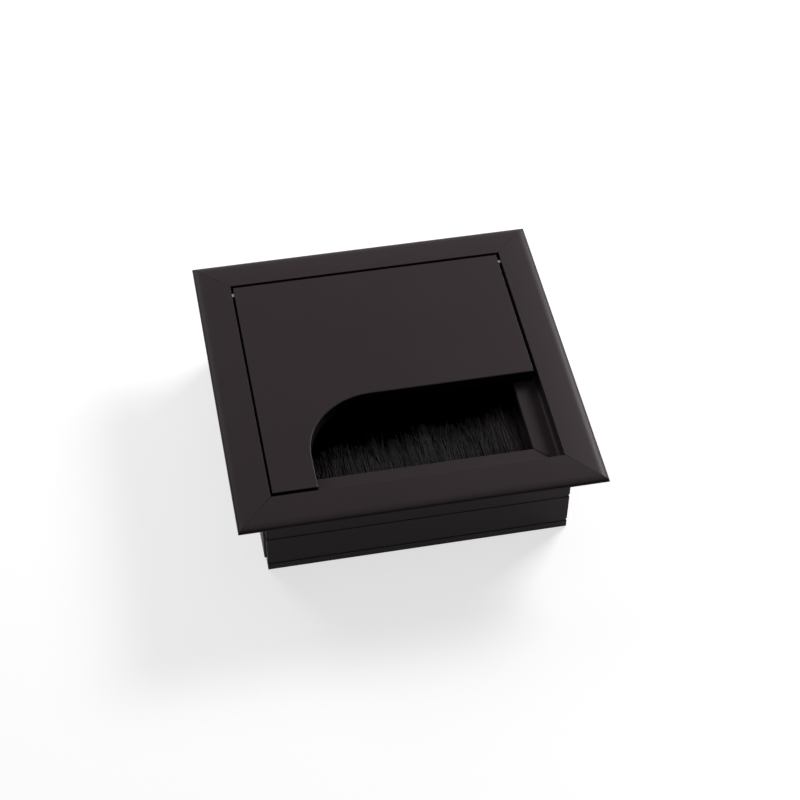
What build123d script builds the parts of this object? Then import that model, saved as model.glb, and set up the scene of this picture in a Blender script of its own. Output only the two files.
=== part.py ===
from build123d import *
import os
from math import sin, sqrt

# Square cable grommet for a desk top: a frame of four mitred extrusions, a hinged lid with
# a cable cut-out, and a strip brush under the front ledge. 80 mm square over the flange.
# Millimetres. +Z is up, -Y is the brush side, +Y is the hinge side.
# The origin is under the middle of the frame, level with the bottom of the skirt.

# Frame extrusion, the same section on all four sides
skirt_size = 67.2
skirt_depth = 21.7
skirt_wall = 1.6
flange_overhang = 6.4
flange_thickness = 1.3
flange_edge_land = 0.1
flange_edge_width = 2.5
flange_nose_radius = 0.7
rebate_depth = 3.1
rebate_edge_radius = 0.1
rebate_root_radius = 1.0
ledge_width = 5.5
ledge_thickness = 1.5
ledge_edge_radius = 0.3
seat_rib_thickness = 1.2
seat_rib_margin = 0.15
lip_thickness = 1.0
lip_reach = 1.5
lower_lip_rise = 3.1
groove_width = 0.9
groove_depth = 0.5
upper_groove_drop = 11.0
lower_groove_rise = 2.3
mitre_gap = 0.03

# Angle-shaped corner keys that join the mitres
key_thickness = 1.5
key_leg = 14.0
key_corner_radius = 0.8
key_clearance = 0.05

# Lid plate and its cut-out
lid_left_gap = 0.55
lid_right_gap = 0.75
lid_back_gap = 0.72
lid_front_gap = 0.85
lid_seat_gap = 0.2
lid_edge_radius = 0.1
cutout_arm_width = 9.85
cutout_depth = 24.35
cutout_radius = 15.5
cutout_edge_radius = 0.3

# Hinge pins, fixed in the lid and turning in blind holes in the frame
pin_diameter = 1.5
pin_in_lid = 6.0
pin_cover = 0.4
pin_chamfer = 0.2
pin_seat_clearance = 0.02
pin_run_clearance = 0.05
pin_end_clearance = 0.1

# Strip brush: a folded channel, a core wire and the bristles doubled over it
brush_end_gap = 2.0
channel_height = 4.1
channel_depth = 4.4
channel_wall = 0.5
channel_clearance = 0.05
wire_diameter = 1.2
wire_clearance = 0.02
bristle_clearance = 0.02
bristle_reach = 11.9
bristle_slant = 2.6
bristle_sweep = 1.6
bristle_tip_thickness = 1.0
bristle_tip_width = 0.25
tuft_pitch = 0.66
tuft_split = 4.5

# Uneven tips: each ripple turns by so many radians a tuft and moves the tip by so many millimetres
tuft_ripples = [(2.4, 0.55), (5.3, 0.33)]

# Grip strips that clip into the two outer grooves of the side skirts
strip_thickness = 0.45
strip_setback = 2.0
strip_clearance = 0.03

# Frame places worked out from the sizes above
skirt_half = skirt_size / 2
flange_half = skirt_half + flange_overhang
flange_edge_height = flange_thickness - flange_edge_land
rebate_half = skirt_half - skirt_wall
ledge_half = rebate_half - ledge_width
top = skirt_depth + flange_thickness
ledge_top = top - rebate_depth
ledge_bottom = ledge_top - ledge_thickness
seat_rib_top = ledge_bottom - channel_height - 2 * channel_clearance
key_slot_top = seat_rib_top - seat_rib_thickness
key_slot_bottom = lower_lip_rise + lip_thickness
key_height = key_slot_top - key_slot_bottom - 2 * key_clearance
lip_outside = rebate_half - key_thickness - 2 * key_clearance
lip_inside = lip_outside - lip_thickness
groove_heights = [skirt_depth - upper_groove_drop, lower_groove_rise]

# The flange's edge is a quarter of a flat oval: a crown arc falls from the top and runs into a
# smaller nose arc, which ends upright at the land. This crown radius makes the two arcs tangent.
flange_crown_radius = (flange_edge_width ** 2 + flange_edge_height ** 2
                       - 2 * flange_edge_width * flange_nose_radius)
flange_crown_radius /= 2 * (flange_edge_height - flange_nose_radius)

# Lid places
lid_left = -rebate_half + lid_left_gap
lid_right = rebate_half - lid_right_gap
lid_back = rebate_half - lid_back_gap
lid_front = -rebate_half + lid_front_gap
lid_thickness = rebate_depth - lid_seat_gap
lid_bottom = top - lid_thickness
cutout_left = lid_left + cutout_arm_width
cutout_back = lid_front + cutout_depth

# The pins sit at half the lid's thickness, and its heel is rounded about them
heel_radius = lid_thickness / 2
pin_y = lid_back - heel_radius
pin_z = lid_bottom + heel_radius
pin_radius = pin_diameter / 2
pin_inner = min(-lid_left, lid_right) - pin_in_lid
socket_end = skirt_half - pin_cover
pin_outer = socket_end - pin_end_clearance

# Brush places, with distances from the middle towards the front
brush_length = 2 * (rebate_half - brush_end_gap)
channel_back = rebate_half - channel_clearance
channel_mouth = channel_back - channel_depth
channel_top = ledge_bottom - channel_clearance
channel_bottom = channel_top - channel_height
brush_middle = (channel_top + channel_bottom) / 2
seat_rib_inside = channel_mouth - seat_rib_margin
pack_back = channel_back - channel_wall - bristle_clearance
pack_thickness = channel_height - 2 * channel_wall - 2 * bristle_clearance
wire_y = pack_thickness / 2 - pack_back
longest_tip = bristle_reach + bristle_slant + bristle_sweep + sum(size for turn, size in tuft_ripples)


def panel(left, right, low, high):
    return Pos((left + right) / 2, (low + high) / 2) * Rectangle(right - left, high - low)


def rounded(shape, corner, radius):
    return fillet(shape.vertices().sort_by_distance(corner)[0], radius)


# What the crown arc cuts off the flange's square outer corner
def above_crown():
    start = flange_half - flange_edge_width
    crown = Pos(start, top - flange_crown_radius) * Circle(flange_crown_radius)
    return panel(start, flange_half, top - flange_edge_height, top) - crown


# Section of the frame, drawn with the distance from the middle across and the height up
def frame_section():
    section = panel(rebate_half, flange_half, skirt_depth, top)
    section += panel(rebate_half, skirt_half, 0, top)
    section += panel(ledge_half, skirt_half, ledge_bottom, ledge_top)
    section += panel(seat_rib_inside, skirt_half, key_slot_top, seat_rib_top)
    section += panel(lip_inside, lip_outside, key_slot_top - lip_reach, seat_rib_top)
    section += panel(lip_inside, skirt_half, lower_lip_rise, key_slot_bottom)
    section += panel(lip_inside, lip_outside, lower_lip_rise, key_slot_bottom + lip_reach)
    for height in groove_heights:
        section -= panel(skirt_half - groove_depth, flange_half,
                         height - groove_width / 2, height + groove_width / 2)
    section -= above_crown()
    section = rounded(section, (flange_half, top), flange_nose_radius)
    section = rounded(section, (rebate_half, top), rebate_edge_radius)
    section = rounded(section, (rebate_half, ledge_top), rebate_root_radius)
    section = rounded(section, (ledge_half, ledge_top), ledge_edge_radius)
    return section


# Space that one side keeps between its two mitre planes
def mitre_wedge():
    start = mitre_gap / sqrt(2)
    reach = flange_half - start
    corners = [(start, 0), (flange_half, -reach), (flange_half, reach)]
    return extrude(make_face(Polyline(*corners, close=True)), top)


# One length of the extrusion, on the +X side
def frame_side():
    bar = extrude(Plane.XZ * frame_section(), flange_half, both=True)
    return bar & mitre_wedge()


# A round bar along X on the hinge line
def hinge_bar(radius, length):
    return Pos(0, pin_y, pin_z) * Rot(0, 90, 0) * Cylinder(radius, length)


def frame_parts():
    side = frame_side()
    sockets = hinge_bar(pin_radius + pin_run_clearance, 2 * socket_end)
    return {
        "frame_right": side - sockets,
        "frame_back": Rot(0, 0, 90) * side,
        "frame_left": Rot(0, 0, 180) * side - sockets,
        "frame_front": Rot(0, 0, 270) * side,
    }


# A short angle with one leg in the slot of each neighbour
def corner_key():
    outside = rebate_half - key_clearance
    inside = outside - key_thickness
    end = outside - key_leg
    plan = panel(end, outside, inside, outside) + panel(inside, outside, end, outside)
    plan = rounded(plan, (outside, outside), key_corner_radius)
    return Pos(0, 0, key_slot_bottom + key_clearance) * extrude(plan, key_height)


def corner_keys():
    names = ["back_right", "back_left", "front_left", "front_right"]
    return {f"corner_key_{name}": Rot(0, 0, 90 * turn) * corner_key() for turn, name in enumerate(names)}


# Edges round the lid's top: the four of its outline, and those of the cut-out
def rim_edges(plate):
    rim = plate.faces().sort_by(Axis.Z)[-1].edges()
    across = rim.sort_by(Axis.X)
    along = rim.sort_by(Axis.Y)
    outline = [across[0], across[-1], along[0], along[-1]]
    return outline, [edge for edge in rim if edge not in outline]


# Flat plate with a rounded cut-out for cables, open to its front and right edges
def lid():
    plan = panel(lid_left, lid_right, lid_front, lid_back)
    cutout = panel(cutout_left, 2 * lid_right, 2 * lid_front, cutout_back)
    plan -= rounded(cutout, (cutout_left, cutout_back), cutout_radius)
    plate = Pos(0, 0, lid_bottom) * extrude(plan, lid_thickness)
    heel = plate.edges().filter_by(Axis.X).sort_by_distance((0, lid_back, lid_bottom))[0]
    plate = fillet(heel, heel_radius)
    plate = fillet(rim_edges(plate)[1], cutout_edge_radius)
    plate = fillet(rim_edges(plate)[0], lid_edge_radius)
    seats = hinge_bar(pin_radius + pin_seat_clearance, 2 * rebate_half)
    seats -= hinge_bar(pin_diameter, 2 * pin_inner)
    return plate - seats


def hinge_pin(side):
    pin = Cylinder(pin_radius, pin_outer - pin_inner)
    pin = chamfer(pin.edges().filter_by(GeomType.CIRCLE), pin_chamfer)
    return Pos(side * (pin_inner + pin_outer) / 2, pin_y, pin_z) * Rot(0, 90, 0) * pin


# Folded strip, open towards the middle of the frame
def brush_channel():
    outer = panel(-channel_back, -channel_mouth, channel_bottom, channel_top)
    inner = panel(-channel_back + channel_wall, 0, channel_bottom + channel_wall, channel_top - channel_wall)
    return extrude(Plane.YZ * (outer - inner), brush_length / 2, both=True)


# A round bar along X inside the folded channel
def brush_core(radius):
    return Pos(0, wire_y, brush_middle) * Rot(0, 90, 0) * Cylinder(radius, brush_length)


# How far the bristles stand out of the channel: longer to the right, with an uneven edge
def bristle_tip(x, tuft):
    share = 2 * x / brush_length
    ripple = sum(size * sin(turn * tuft) for turn, size in tuft_ripples)
    return bristle_reach + bristle_slant * share + bristle_sweep * share ** 2 + ripple - channel_mouth


# Plan of the brush seen from above: a straight back edge and a row of pointed tufts
def bristle_plan():
    count = round(brush_length / tuft_pitch)
    pitch = brush_length / count
    end = brush_length / 2
    points = [(end, -pack_back), (-end, -pack_back)]
    for tuft in range(count):
        middle = (tuft + 0.5) * pitch - end
        tip = bristle_tip(middle, tuft)
        points.append((middle - pitch / 2, tip - tuft_split))
        points.append((middle - bristle_tip_width / 2, tip))
        points.append((middle + bristle_tip_width / 2, tip))
    points.append((end, tip - tuft_split))
    return make_face(Polyline(*points, close=True))


# Side view of the brush: parallel inside the channel, then thinning towards the tips
def bristle_side():
    tip = longest_tip - channel_mouth
    half_root = pack_thickness / 2
    half_tip = bristle_tip_thickness / 2
    outline = [(-pack_back, half_root), (-channel_mouth, half_root), (tip, half_tip),
               (tip, -half_tip), (-channel_mouth, -half_root), (-pack_back, -half_root)]
    return Pos(0, brush_middle) * make_face(Polyline(*outline, close=True))


def brush_bristles():
    tufts = extrude(bristle_plan(), top)
    sheet = extrude(Plane.YZ * bristle_side(), brush_length / 2, both=True)
    return (tufts & sheet) - brush_core(wire_diameter / 2 + wire_clearance)


# A flat strip whose two edges turn in and clip into the grooves
def grip_strip():
    face = skirt_half + strip_clearance
    outside = face + strip_thickness
    tongue = skirt_half - groove_depth + strip_clearance
    half_tongue = groove_width / 2 - strip_clearance
    section = panel(face, outside, min(groove_heights), max(groove_heights))
    for height in groove_heights:
        section += panel(tongue, outside, height - half_tongue, height + half_tongue)
    return extrude(Plane.XZ * section, skirt_half - strip_setback, both=True)


def grommet():
    pieces = frame_parts() | corner_keys()
    pieces["lid"] = lid()
    pieces["hinge_pin_left"] = hinge_pin(-1)
    pieces["hinge_pin_right"] = hinge_pin(1)
    pieces["brush_channel"] = brush_channel()
    pieces["brush_wire"] = brush_core(wire_diameter / 2)
    pieces["brush_bristles"] = brush_bristles()
    pieces["grip_strip_left"] = Rot(0, 0, 180) * grip_strip()
    pieces["grip_strip_right"] = grip_strip()
    return pieces


os.makedirs("parts", exist_ok=True)
for node, shape in grommet().items():
    export_step(shape, f"parts/{node}.step")
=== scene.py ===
import math

import bmesh
import bpy
import numpy as np
from mathutils import Matrix, Vector


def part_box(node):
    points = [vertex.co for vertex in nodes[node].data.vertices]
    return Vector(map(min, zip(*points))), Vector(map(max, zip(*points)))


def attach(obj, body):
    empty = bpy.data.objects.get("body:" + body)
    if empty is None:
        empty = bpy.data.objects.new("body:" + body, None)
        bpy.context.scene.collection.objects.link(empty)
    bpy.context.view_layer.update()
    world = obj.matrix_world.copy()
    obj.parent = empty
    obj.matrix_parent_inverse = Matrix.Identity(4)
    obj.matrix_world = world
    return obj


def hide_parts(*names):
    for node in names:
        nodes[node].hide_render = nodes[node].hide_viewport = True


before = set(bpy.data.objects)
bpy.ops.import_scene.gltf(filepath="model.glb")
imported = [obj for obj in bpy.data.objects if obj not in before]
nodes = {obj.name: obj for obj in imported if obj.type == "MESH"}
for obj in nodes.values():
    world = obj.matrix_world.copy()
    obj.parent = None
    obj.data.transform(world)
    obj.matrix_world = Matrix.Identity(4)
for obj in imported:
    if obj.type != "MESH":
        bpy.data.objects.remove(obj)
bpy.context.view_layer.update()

print("frame loaded:", len(nodes), "pieces")


# Small helpers for objects and node trees

def addObject(name, data):
    made = bpy.data.objects.new(name, data)
    bpy.context.scene.collection.objects.link(made)
    return made


def addNode(tree, kind, sockets=None, **settings):
    made = tree.nodes.new(kind)
    for key, value in settings.items():
        setattr(made, key, value)
    for key, value in (sockets or {}).items():
        made.inputs[key].default_value = value
    return made


def join(tree, source, output, target, socket):
    tree.links.new(source.outputs[output], target.inputs[socket])


# A value that runs over a span becomes one that runs between two levels
def addRamp(tree, source, output, span, levels, kind="LINEAR"):
    ramp = addNode(tree, "ShaderNodeMapRange", {"From Min": span[0], "From Max": span[1],
                                                "To Min": levels[0], "To Max": levels[1]},
                   interpolation_type=kind)
    join(tree, source, output, ramp, "Value")
    return ramp


# A colour between two others, by a mask
def addTint(tree, source, output, low, high):
    tint = addNode(tree, "ShaderNodeMix", {"A": low, "B": high}, data_type="RGBA")
    join(tree, source, output, tint, "Factor")
    return tint


# Roughness between two levels, by a value that mostly lies within a span
def addGloss(tree, source, output, shader, roughness, span=(0.0, 1.0)):
    gloss = addRamp(tree, source, output, span, roughness)
    join(tree, gloss, 0, shader, "Roughness")


# Fine relief from a height, put on a shader or under another relief
def addRelief(tree, source, output, target, strength, depth):
    relief = addNode(tree, "ShaderNodeBump", {"Strength": strength, "Distance": depth})
    join(tree, source, output, relief, "Height")
    join(tree, relief, 0, target, "Normal")
    return relief


def startGroup(name, inputs, outputs):
    tree = bpy.data.node_groups.new(name, "ShaderNodeTree")
    for label, kind in inputs.items():
        tree.interface.new_socket(name=label, in_out="INPUT", socket_type="NodeSocket" + kind)
    for label, kind in outputs.items():
        tree.interface.new_socket(name=label, in_out="OUTPUT", socket_type="NodeSocket" + kind)
    return tree, tree.nodes.new("NodeGroupInput"), tree.nodes.new("NodeGroupOutput")


def useGroup(tree, group, sockets):
    return addNode(tree, "ShaderNodeGroup", sockets, node_tree=group)


def startMaterial(name, sockets):
    made = bpy.data.materials.new(name)
    made.use_nodes = True
    tree = made.node_tree
    shader = tree.nodes["Principled BSDF"]
    for key, value in sockets.items():
        shader.inputs[key].default_value = value
    return made, tree, shader


def dress(material, *names):
    for name in names:
        slots = nodes[name].data.materials
        slots.clear()
        slots.append(material)


# Studio: pale floor, a black sheet inside the skirt as painted shade in the well, a lamp at the back right
# and a weaker one at the back left

studio = {
    "floorSize": 8.0,               # metres, edge of the floor
    "floorColour": (0.50, 0.50, 0.50, 1.0),
    "floorLift": 0.70,              # added for rays that see the background
    "floorDrop": 0.00005,           # the floor lies just under the skirt
    # Painted shade: a near-black sheet on the floor inside the skirt, where the well lies in shade under the
    # lid
    "shadeCardColour": (0.004, 0.004, 0.004, 1.0),
    "shadeCardRoughness": 0.9,
    "shadeCardRise": 0.0001,             # the card lies just over the floor
    "skyWhite": 0.98,               # backdrop near the horizon
    "skyEdgeFront": 0.0,            # height where the white ends, as the sine of its elevation
    "skyEdgeBack": 0.64,
    "skySoft": 0.12,                # half of the width over which it fades
    "skyTurn": (0.45, 0.85),        # between these shares of the way to the back its height rises
    "skyTop": 0.42,                 # straight above
    "skyTopFade": (0.75, 0.92),     # it fades in between these heights
    "keyPlace": (0.360, 0.266, 0.319),      # metres, the lamp at the back right
    "keySize": (0.22, 0.16),        # metres, width and height
    "keyWatts": 2.52,
    "fillPlace": (-0.318, 0.509, 0.361),    # the lamp at the back left
    "fillSize": (0.28, 0.28),
    "fillWatts": 0.95,
}


def plate(name, half, height):
    corners = np.array([(-1, -1), (1, -1), (1, 1), (-1, 1)], float) * half
    points = np.column_stack([corners, np.full(4, height)])
    mesh = bpy.data.meshes.new(name)
    mesh.from_pydata(points.tolist(), [], [(0, 1, 2, 3)])
    made = addObject(name, mesh)
    return made


# One where a ray comes from the camera, a mirror image or through glass
def seenRays(tree):
    path = addNode(tree, "ShaderNodeLightPath")
    first = addNode(tree, "ShaderNodeMath", operation="MAXIMUM")
    both = addNode(tree, "ShaderNodeMath", operation="MAXIMUM")
    join(tree, path, "Is Camera Ray", first, 0)
    join(tree, path, "Is Glossy Ray", first, 1)
    join(tree, first, 0, both, 0)
    join(tree, path, "Is Transmission Ray", both, 1)
    return both


def floorMaterial():
    made = bpy.data.materials.new("paleFloor")
    made.use_nodes = True
    tree = made.node_tree
    tree.nodes.clear()
    matt = addNode(tree, "ShaderNodeBsdfDiffuse", {"Color": studio["floorColour"]})
    glow = addNode(tree, "ShaderNodeEmission")
    lift = addNode(tree, "ShaderNodeMath", {1: studio["floorLift"]}, operation="MULTIPLY")
    total = addNode(tree, "ShaderNodeAddShader")
    out = addNode(tree, "ShaderNodeOutputMaterial")
    join(tree, seenRays(tree), 0, lift, 0)
    join(tree, lift, 0, glow, "Strength")
    join(tree, matt, 0, total, 0)
    join(tree, glow, 0, total, 1)
    join(tree, total, 0, out, "Surface")
    return made


def buildStage():
    floor = plate("floor", studio["floorSize"] / 2, -studio["floorDrop"])
    floor.data.materials.append(floorMaterial())
    # Painted shade: the black sheet inside the skirt keeps the well dark
    shadeCard = plate("wellShadeCard", -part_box("brush_channel")[0].y, studio["shadeCardRise"])
    shadeCardBlack = startMaterial("shadeCardBlack", {"Base Color": studio["shadeCardColour"],
                                            "Roughness": studio["shadeCardRoughness"],
                                            "Specular IOR Level": 0.0})[0]
    shadeCard.data.materials.append(shadeCardBlack)


# Sky: a white backdrop at the horizon, high at the back and low at the front, and a dim ceiling
def buildWorld():
    world = bpy.data.worlds.new("studioSky")
    bpy.context.scene.world = world
    world.use_nodes = True
    tree = world.node_tree
    tree.nodes.clear()
    way = addNode(tree, "ShaderNodeTexCoord")
    parts = addNode(tree, "ShaderNodeSeparateXYZ")
    above = addNode(tree, "ShaderNodeMath", operation="SUBTRACT")
    level = addNode(tree, "ShaderNodeMath", operation="ADD")
    back = addNode(tree, "ShaderNodeBackground")
    out = addNode(tree, "ShaderNodeOutputWorld")
    join(tree, way, "Generated", parts, 0)
    edgeHeights = (studio["skyEdgeFront"], studio["skyEdgeBack"])
    edge = addRamp(tree, parts, "Y", studio["skyTurn"], edgeHeights, "SMOOTHSTEP")
    join(tree, parts, "Z", above, 0)
    join(tree, edge, 0, above, 1)
    soft = (-studio["skySoft"], studio["skySoft"])
    band = addRamp(tree, above, 0, soft, (studio["skyWhite"], 0.0), "SMOOTHSTEP")
    top = addRamp(tree, parts, "Z", studio["skyTopFade"], (0.0, studio["skyTop"]), "SMOOTHSTEP")
    join(tree, band, 0, level, 0)
    join(tree, top, 0, level, 1)
    join(tree, level, 0, back, "Strength")
    join(tree, back, 0, out, "Surface")


# A lamp turned to the middle of the floor
def addLamp(name, place, size, watts):
    data = bpy.data.lights.new(name, "AREA")
    data.shape = "RECTANGLE"
    data.size, data.size_y = size
    data.energy = watts
    lamp = addObject(name, data)
    lamp.location = place
    lamp.rotation_mode = "QUATERNION"
    lamp.rotation_quaternion = (-Vector(place)).to_track_quat("-Z", "Y")


buildStage()
buildWorld()
addLamp("keyLamp", studio["keyPlace"], studio["keySize"], studio["keyWatts"])
addLamp("fillLamp", studio["fillPlace"], studio["fillSize"], studio["fillWatts"])
bpy.context.scene.view_settings.view_transform = "Standard"
print("studio ready")


# Camera: looks down on the middle of the flange from the front, a little from the left

shot = {
    "azimuth": -11.70,              # degrees
    "elevation": 48.06,
    "roll": 0.96,
    "target": (0.0, 0.0, 0.0217),   # metres, middle of the flange
    "distance": 0.43144,            # along the view from the target
    "offset": (-0.002005, 0.006447),    # the target, right and up of the view's axis
    "lens": 86.49,                  # millimetres
    "sensor": 36.0,
}


def buildCamera():
    az, el, roll = (math.radians(shot[key]) for key in ("azimuth", "elevation", "roll"))
    back = Vector((math.sin(az) * math.cos(el), -math.cos(az) * math.cos(el), math.sin(el)))
    level = Vector((math.cos(az), math.sin(az), 0))
    rise = back.cross(level)
    right = level * math.cos(roll) + rise * math.sin(roll)
    up = rise * math.cos(roll) - level * math.sin(roll)
    across, over = shot["offset"]
    place = Vector(shot["target"]) - right * across - up * over + back * shot["distance"]
    data = bpy.data.cameras.new("photoCamera")
    data.lens = shot["lens"]
    data.sensor_width = shot["sensor"]
    camera = addObject("photoCamera", data)
    camera.matrix_world = Matrix.Translation(place) @ Matrix((right, up, back)).transposed().to_4x4()
    bpy.context.scene.camera = camera


buildCamera()
print("camera ready")


# Grain: fine flecks and broad clouds, both from 0 to 1

satinNoise = {
    "fleck": {"Detail": 2.0, "Roughness": 0.6},
    "cloud": {"Detail": 3.0, "Roughness": 0.5},
}


def grainGroup():
    inputs = {"Vector": "Vector", "Fleck Scale": "Float", "Cloud Scale": "Float"}
    tree, start, end = startGroup("satinGrain", inputs, {"Fleck": "Float", "Cloud": "Float"})
    fleck = addNode(tree, "ShaderNodeTexNoise", satinNoise["fleck"])
    cloud = addNode(tree, "ShaderNodeTexNoise", satinNoise["cloud"])
    join(tree, start, "Vector", fleck, "Vector")
    join(tree, start, "Vector", cloud, "Vector")
    join(tree, start, "Fleck Scale", fleck, "Scale")
    join(tree, start, "Cloud Scale", cloud, "Scale")
    join(tree, fleck, 0, end, "Fleck")
    join(tree, cloud, 0, end, "Cloud")
    return tree


# Draw lines: noise pulled out along one direction, from 0 to 1

lineNoise = {"Scale": 1.0, "Detail": 3.0, "Roughness": 0.7}


def drawLineGroup():
    tree, start, end = startGroup("drawLines", {"Vector": "Vector", "Stretch": "Vector"}, {"Line": "Float"})
    pull = addNode(tree, "ShaderNodeVectorMath", operation="MULTIPLY")
    line = addNode(tree, "ShaderNodeTexNoise", lineNoise)
    join(tree, start, "Vector", pull, 0)
    join(tree, start, "Stretch", pull, 1)
    join(tree, pull, 0, line, "Vector")
    join(tree, line, 0, end, "Line")
    return tree


# Edge rub: one where the rounded normal leaves the face's own normal, broken up by flecks

edgeWear = {
    "samples": 6,
    "normals": (0.995, 0.86),       # cosine between the two, where the rub starts and where it is full
    "flecks": (0.30, 0.65),         # levels of the flecks over which they break it up
    "fleckLeft": 0.25,              # share of the rub left where they are low
}


def edgeGroup():
    tree, start, end = startGroup("edgeRub", {"Radius": "Float", "Fleck": "Float"}, {"Mask": "Float"})
    shape = addNode(tree, "ShaderNodeNewGeometry")
    soft = addNode(tree, "ShaderNodeBevel", samples=edgeWear["samples"])
    match = addNode(tree, "ShaderNodeVectorMath", operation="DOT_PRODUCT")
    mask = addNode(tree, "ShaderNodeMath", operation="MULTIPLY")
    join(tree, start, "Radius", soft, "Radius")
    join(tree, soft, 0, match, 0)
    join(tree, shape, "Normal", match, 1)
    edge = addRamp(tree, match, "Value", edgeWear["normals"], (0.0, 1.0))
    broken = addRamp(tree, start, "Fleck", edgeWear["flecks"], (edgeWear["fleckLeft"], 1.0))
    join(tree, edge, 0, mask, 0)
    join(tree, broken, 0, mask, 1)
    join(tree, mask, 0, end, "Mask")
    return tree


# Mitre seam: painted shade on the diagonals of the frame, where two cut ends meet, with one strength
# down on the ledge and another on the flange, which fades outwards and is weaker at the back.
# Its places come from the lid, which lies between the ledge and the flange

seam = {
    "ledgeHeight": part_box("lid")[0].z,
    "flangeHeight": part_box("lid")[1].z - 0.001,     # a millimetre below the lid's top
    "fadeSpan": (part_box("lid")[1].y, 0.0368),   # metres from the middle, over the flange
    "fadeLeft": 0.10,               # strength at the outer end
    "backShare": 0.35,              # share of the strength left at the back corners
}


def seamGroup():
    inputs = {"Vector": "Vector", "Half Width": "Float", "Ledge": "Float", "Flange": "Float"}
    tree, start, end = startGroup("mitreSeamShade", inputs, {"Mask": "Float"})
    place = addNode(tree, "ShaderNodeSeparateXYZ")
    size = addNode(tree, "ShaderNodeVectorMath", operation="ABSOLUTE")
    parts = addNode(tree, "ShaderNodeSeparateXYZ")
    apart = addNode(tree, "ShaderNodeMath", operation="SUBTRACT")
    off = addNode(tree, "ShaderNodeMath", operation="ABSOLUTE")
    weaker = addNode(tree, "ShaderNodeMath", operation="MULTIPLY")
    strength = addNode(tree, "ShaderNodeMix", data_type="FLOAT")
    mask = addNode(tree, "ShaderNodeMath", operation="MULTIPLY")
    join(tree, start, "Vector", place, 0)
    join(tree, start, "Vector", size, 0)
    join(tree, size, 0, parts, 0)
    join(tree, parts, "X", apart, 0)
    join(tree, parts, "Y", apart, 1)
    join(tree, apart, 0, off, 0)
    line = addRamp(tree, off, 0, (0.0, 1.0), (1.0, 0.0), "SMOOTHSTEP")
    join(tree, start, "Half Width", line, "From Max")
    outward = addRamp(tree, parts, "X", seam["fadeSpan"], (1.0, seam["fadeLeft"]))
    join(tree, start, "Flange", outward, "To Min")
    inner = seam["fadeSpan"][0]
    atBack = addRamp(tree, place, "Y", (-inner, inner), (1.0, seam["backShare"]))
    join(tree, outward, 0, weaker, 0)
    join(tree, atBack, 0, weaker, 1)
    height = addRamp(tree, parts, "Z", (seam["ledgeHeight"], seam["flangeHeight"]), (0.0, 1.0))
    join(tree, height, 0, strength, "Factor")
    join(tree, start, "Ledge", strength, "A")
    join(tree, weaker, 0, strength, "B")
    join(tree, line, 0, mask, 0)
    join(tree, strength, 0, mask, 1)
    join(tree, mask, 0, end, "Mask")
    return tree


satinGrain = grainGroup()
drawLines = drawLineGroup()
edgeRub = edgeGroup()
mitreSeamShade = seamGroup()
print("surface effects ready")


# Satin black anodising, with faint draw lines along each length of the frame

anodised = {
    "dark": (0.0390, 0.0302, 0.0333, 1.0),
    "light": (0.0442, 0.0348, 0.0383, 1.0),
    "rubbed": (0.060, 0.052, 0.053, 1.0),
    "rubShare": 0.18,
    "fleckScale": 5200.0,           # flecks of about 0.2 mm
    "cloudScale": 55.0,
    "lineAlong": 45.0,              # draw lines: long this way
    "lineAcross": 6000.0,           # and fine across
    "lineSpan": (0.3, 0.7),         # levels between which the lines mostly lie
    "roughness": (0.32, 0.40),
    "specular": 0.086,
    "shineTint": (1.0, 0.86, 0.93, 1.0),
    "uprightSpan": (0.2, 0.6),      # height of a normal, from an upright face to a level one
    # Painted shade: share of the colour left on the lid's upright cut faces
    "uprightShadeTone": 0.40,                # colour left on the lid's upright cut faces
    "grainBump": 0.03,
    "lineBump": 0.03,
    "reliefDepth": 0.00002,         # metres
    "edgeRadius": 0.00022,
    # Painted shade in the mitre seams: its colour, half width and strengths
    "seamShadeColour": (0.0030, 0.0022, 0.0024, 1.0),
    "seamHalfWidth": 0.00045,
    "seamLedge": 1.0,               # strength on the ledge
    "seamFlange": 0.34,             # and on the flange, at its inner corner
}


# Painted shade along the mitres: dark lines laid over the colour
def addSeamShade(tree, where, colour, shader):
    seams = useGroup(tree, mitreSeamShade, {"Half Width": anodised["seamHalfWidth"],
                                       "Ledge": anodised["seamLedge"], "Flange": anodised["seamFlange"]})
    lined = addNode(tree, "ShaderNodeMix", {"B": anodised["seamShadeColour"]}, data_type="RGBA")
    join(tree, where, "Object", seams, "Vector")
    join(tree, seams, "Mask", lined, "Factor")
    join(tree, colour, "Result", lined, "A")
    join(tree, lined, "Result", shader, "Base Color")


# Painted shade on upright faces: less of the colour where a face stands upright, as on the lid's cut faces
def addUprightShade(tree, where, colour, shader):
    parts = addNode(tree, "ShaderNodeSeparateXYZ")
    size = addNode(tree, "ShaderNodeMath", operation="ABSOLUTE")
    toned = addNode(tree, "ShaderNodeVectorMath", operation="SCALE")
    join(tree, where, "Normal", parts, 0)
    join(tree, parts, "Z", size, 0)
    tone = addRamp(tree, size, 0, anodised["uprightSpan"], (anodised["uprightShadeTone"], 1.0), "SMOOTHSTEP")
    join(tree, colour, "Result", toned, 0)
    join(tree, tone, 0, toned, "Scale")
    join(tree, toned, 0, shader, "Base Color")
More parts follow.
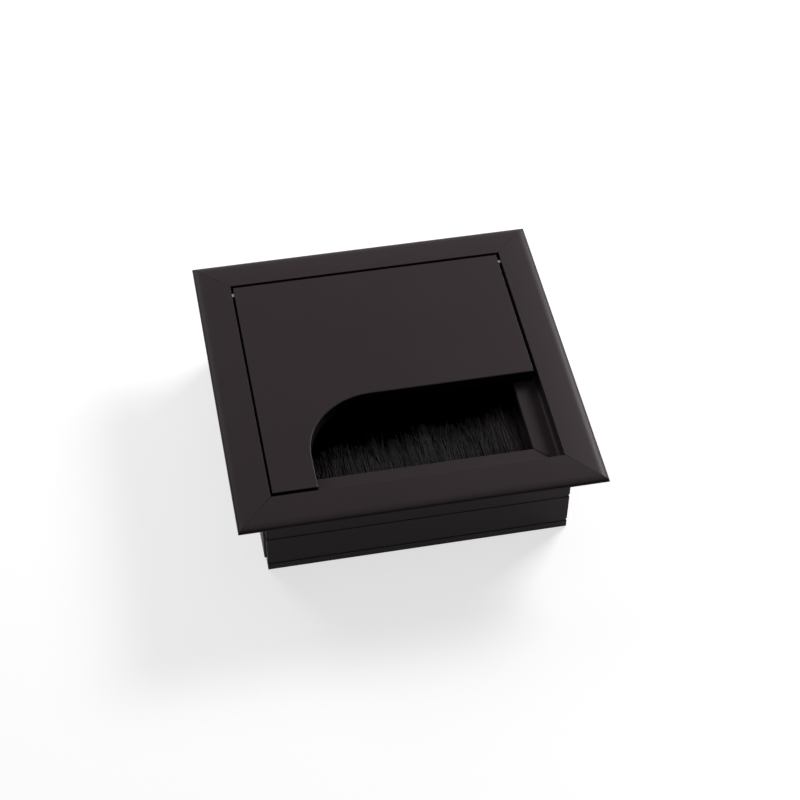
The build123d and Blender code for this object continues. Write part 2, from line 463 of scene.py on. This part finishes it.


# The last step lays painted shade over the colour: in the mitre seams, or on upright cut faces
def anodisedMaterial(name, stretch, lastStep):
    made, tree, shader = startMaterial(name, {"Specular IOR Level": anodised["specular"],
                                              "Specular Tint": anodised["shineTint"]})
    where = addNode(tree, "ShaderNodeTexCoord")
    grain = useGroup(tree, satinGrain, {"Fleck Scale": anodised["fleckScale"],
                                        "Cloud Scale": anodised["cloudScale"]})
    lines = useGroup(tree, drawLines, {"Stretch": stretch})
    rub = useGroup(tree, edgeRub, {"Radius": anodised["edgeRadius"]})
    share = addNode(tree, "ShaderNodeMath", {1: anodised["rubShare"]}, operation="MULTIPLY")
    worn = addNode(tree, "ShaderNodeMix", {"B": anodised["rubbed"]}, data_type="RGBA")
    join(tree, where, "Object", grain, "Vector")
    join(tree, where, "Object", lines, "Vector")
    join(tree, grain, "Fleck", rub, "Fleck")
    join(tree, rub, "Mask", share, 0)
    join(tree, share, 0, worn, "Factor")
    tint = addTint(tree, grain, "Cloud", anodised["dark"], anodised["light"])
    join(tree, tint, "Result", worn, "A")
    lastStep(tree, where, worn, shader)
    addGloss(tree, lines, "Line", shader, anodised["roughness"], anodised["lineSpan"])
    lineRelief = addRelief(tree, lines, "Line", shader, anodised["lineBump"], anodised["reliefDepth"])
    addRelief(tree, grain, "Fleck", lineRelief, anodised["grainBump"], anodised["reliefDepth"])
    return made


along, across = anodised["lineAlong"], anodised["lineAcross"]
blackAlongX = anodisedMaterial("blackAlongX", (along, across, across), addSeamShade)
blackAlongY = anodisedMaterial("blackAlongY", (across, along, across), addSeamShade)
dress(blackAlongX, "frame_front", "frame_back")
dress(blackAlongY, "frame_left", "frame_right")
dress(anodisedMaterial("blackLid", (across, across, across), addUprightShade), "lid")


# Rails: the frame's lengths with a flange whose top falls a little outwards before its edge rounds over,
# and with shallow grooves where no strip clips in

rails = {
    "slopeFrom": 0.0321,            # metres from the middle, inner edge of the flange
    "slope": 0.061,                 # fall for each step outwards
    "crownFrom": 0.03835,
    "crownRadius": 0.0040,
    "noseFrom": 0.03966,            # where the solid's edge turns down into its nose
    "noseTop": 0.0224,
    "flangeUnder": 0.0217,
    "grooveFloor": 0.0331,          # metres from the middle, floor of the grooves in the solid
    "openFloor": 0.03349,           # the same at the front and back, where no strip clips in
    "floorSlack": 0.00002,
    "weld": 0.0000001,
    "sharpFrom": 25.0,              # degrees between faces, from which an edge stays sharp
}


# Height of the flange's top at a distance from the middle: its inner height, less the slope times
# the way outwards, less the sag of an arc: radius - sqrt(radius squared - way past its start squared)
def flangeTop(out, inner):
    past = np.maximum(out - rails["crownFrom"], 0)
    sag = rails["crownRadius"] - np.sqrt(rails["crownRadius"] ** 2 - past ** 2)
    return inner - rails["slope"] * (out - rails["slopeFrom"]) - sag


# The solid's points, some of them moved: the top follows flangeTop, the nose under it is pressed
# in a straight ratio between the flange's underside and the end of that top, and the floor of the
# grooves moves outwards in the ratio of its new distance from the middle to its old one
def railPoints(points, inner, floor):
    out = np.abs(points[:, :2]).max(axis=1)
    height = points[:, 2]
    under, noseTop = rails["flangeUnder"], rails["noseTop"]
    top = flangeTop(np.minimum(out, rails["noseFrom"]), inner)
    noseEnd = flangeTop(rails["noseFrom"], inner)
    nose = under + (height - under) * (noseEnd - under) / (noseTop - under)
    onTop = (out > rails["slopeFrom"]) & (height > noseTop)
    onNose = (out > rails["noseFrom"]) & (height > under) & (height <= noseTop)
    onFloor = np.abs(out - rails["grooveFloor"]) < rails["floorSlack"]
    moved = points.copy()
    moved[:, 2] = np.select([onTop, onNose], [top, nose], height)
    moved[onFloor, :2] *= floor / rails["grooveFloor"]
    return moved


def weldedCopy(node, name):
    welded = bmesh.new()
    welded.from_mesh(nodes[node].data)
    bmesh.ops.remove_doubles(welded, verts=welded.verts, dist=rails["weld"])
    mesh = bpy.data.meshes.new(name)
    welded.to_mesh(mesh)
    welded.free()
    mesh.attributes.remove(mesh.attributes["custom_normal"])
    return mesh


def buildRail(node, name, material, floor):
    mesh = weldedCopy(node, name)
    points = np.empty(len(mesh.vertices) * 3, np.float32)
    mesh.vertices.foreach_get("co", points)
    moved = railPoints(points.reshape(-1, 3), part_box(node)[1].z, floor)
    mesh.vertices.foreach_set("co", moved.reshape(-1))
    mesh.polygons.foreach_set("use_smooth", np.ones(len(mesh.polygons), bool))
    mesh.set_sharp_from_angle(angle=math.radians(rails["sharpFrom"]))
    mesh.materials.clear()
    mesh.materials.append(material)
    made = addObject(name, mesh)
    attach(made, "frame")
    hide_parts(node)


for side in ("Front", "Back"):
    buildRail("frame_" + side.lower(), "rail" + side, blackAlongX, rails["openFloor"])
for side in ("Left", "Right"):
    buildRail("frame_" + side.lower(), "rail" + side, blackAlongY, rails["grooveFloor"])
print("rails ready")


# Bright steel pins with turning lines round them

pinSteel = {
    "pale": (0.93, 0.92, 0.90, 1.0),
    "dull": (0.72, 0.71, 0.69, 1.0),
    "turnScale": 9000.0,            # lines of about 0.1 mm along the pin
    "roundScale": 150.0,            # and long round it
    "lineSpan": (0.3, 0.7),         # levels between which the lines mostly lie
    "roughness": (0.16, 0.30),
    "bump": 0.04,
    "reliefDepth": 0.00002,
}


def pinMaterial():
    made, tree, shader = startMaterial("pinSteel", {"Metallic": 1.0})
    where = addNode(tree, "ShaderNodeTexCoord")
    stretch = (pinSteel["turnScale"], pinSteel["roundScale"], pinSteel["roundScale"])
    lines = useGroup(tree, drawLines, {"Stretch": stretch})
    join(tree, where, "Object", lines, "Vector")
    tint = addTint(tree, lines, "Line", pinSteel["dull"], pinSteel["pale"])
    join(tree, tint, "Result", shader, "Base Color")
    addGloss(tree, lines, "Line", shader, pinSteel["roughness"], pinSteel["lineSpan"])
    addRelief(tree, lines, "Line", shader, pinSteel["bump"], pinSteel["reliefDepth"])
    return made


dress(pinMaterial(), "hinge_pin_left", "hinge_pin_right")


# Zinc plate on the corner keys, the brush channel and its wire: flat grey crystals

zinc = {
    "dark": (0.30, 0.31, 0.32, 1.0),
    "light": (0.50, 0.50, 0.50, 1.0),
    "crystalScale": 700.0,          # crystals of about 1.5 mm
    "fleckScale": 4000.0,
    "cloudScale": 120.0,
    "roughness": (0.32, 0.52),
    "bump": 0.05,
    "reliefDepth": 0.00002,
}


def zincMaterial():
    made, tree, shader = startMaterial("zincPlate", {"Metallic": 1.0})
    where = addNode(tree, "ShaderNodeTexCoord")
    crystal = addNode(tree, "ShaderNodeTexVoronoi", {"Scale": zinc["crystalScale"]})
    split = addNode(tree, "ShaderNodeSeparateColor")
    grain = useGroup(tree, satinGrain, {"Fleck Scale": zinc["fleckScale"], "Cloud Scale": zinc["cloudScale"]})
    join(tree, where, "Object", crystal, "Vector")
    join(tree, where, "Object", grain, "Vector")
    join(tree, crystal, "Color", split, 0)
    tint = addTint(tree, split, 0, zinc["dark"], zinc["light"])
    join(tree, tint, "Result", shader, "Base Color")
    addGloss(tree, grain, "Cloud", shader, zinc["roughness"])
    addRelief(tree, grain, "Fleck", shader, zinc["bump"], zinc["reliefDepth"])
    return made


dress(zincMaterial(), "corner_key_front_left", "corner_key_front_right", "corner_key_back_left",
      "corner_key_back_right", "brush_channel", "brush_wire")


# Matt black plastic grip strips with a fine moulded grain

stripPlastic = {
    "dark": (0.0085, 0.0085, 0.0088, 1.0),
    "light": (0.0150, 0.0148, 0.0148, 1.0),
    "fleckScale": 3600.0,
    "cloudScale": 90.0,
    "roughness": (0.50, 0.68),
    "specular": 0.35,
    "bump": 0.25,
    "reliefDepth": 0.00003,
}


def stripMaterial():
    made, tree, shader = startMaterial("stripPlastic", {"Specular IOR Level": stripPlastic["specular"]})
    where = addNode(tree, "ShaderNodeTexCoord")
    grain = useGroup(tree, satinGrain, {"Fleck Scale": stripPlastic["fleckScale"],
                                        "Cloud Scale": stripPlastic["cloudScale"]})
    join(tree, where, "Object", grain, "Vector")
    tint = addTint(tree, grain, "Cloud", stripPlastic["dark"], stripPlastic["light"])
    join(tree, tint, "Result", shader, "Base Color")
    addGloss(tree, grain, "Fleck", shader, stripPlastic["roughness"])
    addRelief(tree, grain, "Fleck", shader, stripPlastic["bump"], stripPlastic["reliefDepth"])
    return made


dress(stripMaterial(), "grip_strip_left", "grip_strip_right")
print("materials ready")


# Bristles: fine nylon strands in tufts, folded into the channel at the front

bristles = {
    "seed": 41,
    "strands": 9800,
    "tufts": 56,
    "thickness": 0.00020,           # metres, one strand
    "sides": 3,
    "rings": (0.0, 0.5, 0.8, 1.0),  # shares of a strand's length
    "taperFrom": 0.8,               # share of its length where it starts to thin
    "tipShare": 0.55,               # thickness left at the tip
    "endClear": 0.0002,             # kept free at each end of the channel
    "thinRight": 0.45,              # share of the strands missing at the right end
    # places along the brush and the tips' reach from the channel's mouth there
    "tipPlaces": (-0.030, -0.020, -0.0175, -0.0155, -0.001, 0.004, 0.012, 0.0165, 0.020, 0.030),
    "tipReach": (0.0100, 0.0080, 0.0094, 0.0109, 0.0106, 0.0130, 0.0130, 0.0138, 0.0158, 0.0160),
    "tipSpare": 0.0012,             # most that a tip stands past the solid's tufts
    "tuftSpread": 0.00042,          # strands round the middle of their tuft, at the root
    "tuftGather": 0.60,             # share of that spread lost towards the tips
    "tuftLean": 0.048,              # sideways for each step along, whole tuft
    "strandLean": 0.028,            # the same, one strand
    "tuftUneven": 0.00065,
    "strandUneven": 0.00055,
    "strandShort": 0.0022,          # most that a worn strand falls short
    "shortSkew": 3,                 # the higher, the fewer worn strands
    "strayShare": 0.035,
    "strayLean": 0.13,
    "strayRise": 0.0009,
    "strayDip": 0.3,                # share of that rise by which a stray may dip instead
    "strayReach": 0.0009,
    "tipThickness": 0.0010,         # the pack thins to this at the tips
    "bow": 0.00022,
    "dark": (0.0042, 0.0042, 0.0042, 1.0),
    "light": (0.0215, 0.0215, 0.0215, 1.0),
    "toneSkew": 3.0,                # the higher, the fewer bright strands
    "warm": (1.0, 0.66, 0.76, 1.0),     # multiplies the strands' tone at both ends
    "warmShare": 1.0,
    "warmSpan": (0.0120, 0.0185),   # metres from the middle, over which the warm tone grows
    "tipTone": 0.50,                # multiplies the tone at the tips
    "tipFadeFrom": 0.65,            # share of a strand's length where that starts
    # Painted light: the right end of the brush lies in shade, and its tone is lifted instead
    "paintedLightTone": 4.0,                # multiplies the tone at the right end, which lies in shade
    "paintedLightSpan": (0.0200, 0.0250),
    "roughness": (0.52, 0.66),
    "specular": 0.12,
}


# How far back the tips lie: the mouth plus the reach, in straight lines between the given places
def tipLine(x, mouth):
    return mouth + np.interp(x, bristles["tipPlaces"], bristles["tipReach"])


# Middle lines of all strands, as an array of strand, ring and coordinate:
# across = root, gathered towards the tuft's middle, + lean times the way along + bow times sin(pi s),
# height = root height thinning in a straight line to the tips, plus the rise of strays times s squared
def strandLines(draw):
    low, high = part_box("brush_bristles")
    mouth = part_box("brush_channel")[1].y
    half = (high.x - low.x) / 2 - bristles["endClear"]
    middle = (low.z + high.z) / 2
    radius = bristles["thickness"] / 2
    packHalf = (high.z - low.z) / 2 - radius
    count = bristles["strands"]
    tuftShare = (np.arange(bristles["tufts"]) + 0.5) / bristles["tufts"] * 2 - 1
    tuftPlace = tuftShare * half
    fullness = 1 - bristles["thinRight"] * np.clip(tuftShare, 0, 1) ** 2
    tuft = draw.choice(bristles["tufts"], count, p=fullness / fullness.sum())
    offset = draw.normal(0, bristles["tuftSpread"], count)
    root = np.clip(tuftPlace[tuft] + offset, -half, half)
    stray = draw.random(count) < bristles["strayShare"]
    lean = draw.normal(0, bristles["tuftLean"], bristles["tufts"])[tuft]
    lean = lean + draw.normal(0, 1, count) * np.where(stray, bristles["strayLean"], bristles["strandLean"])
    uneven = draw.normal(0, bristles["tuftUneven"], bristles["tufts"])[tuft]
    uneven = uneven + draw.normal(0, bristles["strandUneven"], count) + stray * bristles["strayReach"]
    uneven = uneven - bristles["strandShort"] * draw.random(count) ** bristles["shortSkew"]
    tip = np.minimum(tipLine(root, mouth) + uneven, high.y + bristles["tipSpare"])
    start = low.y + radius
    layer = draw.uniform(-1, 1, count)
    bow = draw.normal(0, bristles["bow"], count)
    rise = stray * draw.uniform(-bristles["strayDip"], 1, count) * bristles["strayRise"]
    s = np.array(bristles["rings"])
    y = start + (tip - start)[:, None] * s
    free = np.maximum(y - mouth, 0)
    freeShare = free / np.maximum(tip - mouth, radius)[:, None]
    gather = 1 - bristles["tuftGather"] * freeShare ** 2
    x = root[:, None] + offset[:, None] * (gather - 1) + lean[:, None] * free
    x = np.clip(x + bow[:, None] * np.sin(np.pi * freeShare), -half, half)
    thin = packHalf + (bristles["tipThickness"] / 2 - packHalf) * freeShare
    z = middle + layer[:, None] * thin + rise[:, None] * freeShare ** 2
    return np.stack([x, y, z], axis=2)


# Strands: a small polygon carried along each middle line, thinner at the tip:
# corner = middle line + radius there times the cosine, across, and the sine, upwards, of its turn
def strandPoints(lines, turn):
    ringShape = np.stack([np.cos(turn), np.zeros_like(turn), np.sin(turn)], axis=2)
    taper = np.interp(bristles["rings"], [0, bristles["taperFrom"], 1], [1, 1, bristles["tipShare"]])
    radius = taper * bristles["thickness"] / 2
    return lines[:, :, None, :] + radius[None, :, None, None] * ringShape[:, None, :, :]


# Corner numbers of the walls between neighbouring rings and of the caps that close both ends
def strandFaces(count, rings, sides):
    ring = np.arange(rings - 1)[:, None] * sides
    side = np.arange(sides)
    after = (side + 1) % sides
    quads = np.stack([ring + side, ring + sides + side, ring + sides + after, ring + after], axis=2)
    ends = np.stack([side, (rings - 1) * sides + side[::-1]])
    first = (np.arange(count) * rings * sides)[:, None, None]
    return (first + quads.reshape(-1, 4)).reshape(-1, 4), (first + ends).reshape(-1, sides)


def strandMesh(points, walls, caps):
    mesh = bpy.data.meshes.new("bristleStrands")
    mesh.vertices.add(points.size // 3)
    mesh.vertices.foreach_set("co", points.reshape(-1))
    corners = np.concatenate([walls.reshape(-1), caps.reshape(-1)])
    sizes = np.concatenate([np.full(len(walls), walls.shape[1]), np.full(len(caps), caps.shape[1])])
    mesh.loops.add(len(corners))
    mesh.loops.foreach_set("vertex_index", corners)
    mesh.polygons.add(len(sizes))
    mesh.polygons.foreach_set("loop_start", np.concatenate([[0], np.cumsum(sizes)[:-1]]))
    mesh.polygons.foreach_set("use_smooth", np.arange(len(sizes)) < len(walls))
    mesh.update(calc_edges=True)
    mesh.validate()
    return mesh


def buildBristles():
    draw = np.random.default_rng(bristles["seed"])
    lines = strandLines(draw)
    count, rings = lines.shape[:2]
    sides = bristles["sides"]
    turn = draw.uniform(0, 2 * np.pi, count)[:, None] + np.arange(sides) * 2 * np.pi / sides
    walls, caps = strandFaces(count, rings, sides)
    mesh = strandMesh(strandPoints(lines, turn), walls, caps)
    tone = mesh.attributes.new("strandTone", "FLOAT", "POINT")
    tone.data.foreach_set("value", np.repeat(draw.random(count) ** bristles["toneSkew"], rings * sides))
    way = mesh.attributes.new("strandWay", "FLOAT", "POINT")
    way.data.foreach_set("value", np.tile(np.repeat(bristles["rings"], sides), count))
    made = addObject("bristleStrands", mesh)
    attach(made, "frame")
    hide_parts("brush_bristles")
    print("bristles:", count, "strands,", len(walls) * 2 + len(caps), "triangles")
    return made


# Warm ends: the colour takes a warm tint away from the middle of the brush
def addWarmEnds(tree, where, colour):
    size = addNode(tree, "ShaderNodeVectorMath", operation="ABSOLUTE")
    parts = addNode(tree, "ShaderNodeSeparateXYZ")
    warm = addNode(tree, "ShaderNodeMix", {"B": bristles["warm"]}, data_type="RGBA", blend_type="MULTIPLY")
    join(tree, where, "Object", size, 0)
    join(tree, size, 0, parts, 0)
    warmth = addRamp(tree, parts, "X", bristles["warmSpan"], (0.0, bristles["warmShare"]))
    join(tree, warmth, 0, warm, "Factor")
    join(tree, colour, "Result", warm, "A")
    return warm


# Tone of a strand: painted light lifts it at the right end of the brush, which lies in shade; it is lower
# towards the tip
def addStrandLevel(tree, where):
    place = addNode(tree, "ShaderNodeSeparateXYZ")
    way = addNode(tree, "ShaderNodeAttribute", attribute_name="strandWay")
    level = addNode(tree, "ShaderNodeMath", operation="MULTIPLY")
    join(tree, where, "Object", place, 0)
    pale = addRamp(tree, place, "X", bristles["paintedLightSpan"], (1.0, bristles["paintedLightTone"]))
    fade = addRamp(tree, way, "Fac", (bristles["tipFadeFrom"], 1.0), (1.0, bristles["tipTone"]))
    join(tree, pale, 0, level, 0)
    join(tree, fade, 0, level, 1)
    return level


def nylonMaterial():
    made, tree, shader = startMaterial("blackNylon", {"Specular IOR Level": bristles["specular"]})
    tone = addNode(tree, "ShaderNodeAttribute", attribute_name="strandTone")
    where = addNode(tree, "ShaderNodeTexCoord")
    toned = addNode(tree, "ShaderNodeVectorMath", operation="SCALE")
    grey = addTint(tree, tone, "Fac", bristles["dark"], bristles["light"])
    join(tree, addWarmEnds(tree, where, grey), "Result", toned, 0)
    join(tree, addStrandLevel(tree, where), 0, toned, "Scale")
    join(tree, toned, 0, shader, "Base Color")
    addGloss(tree, tone, "Fac", shader, bristles["roughness"])
    return made


blackNylon = nylonMaterial()
dress(blackNylon, "brush_bristles")
buildBristles().data.materials.append(blackNylon)
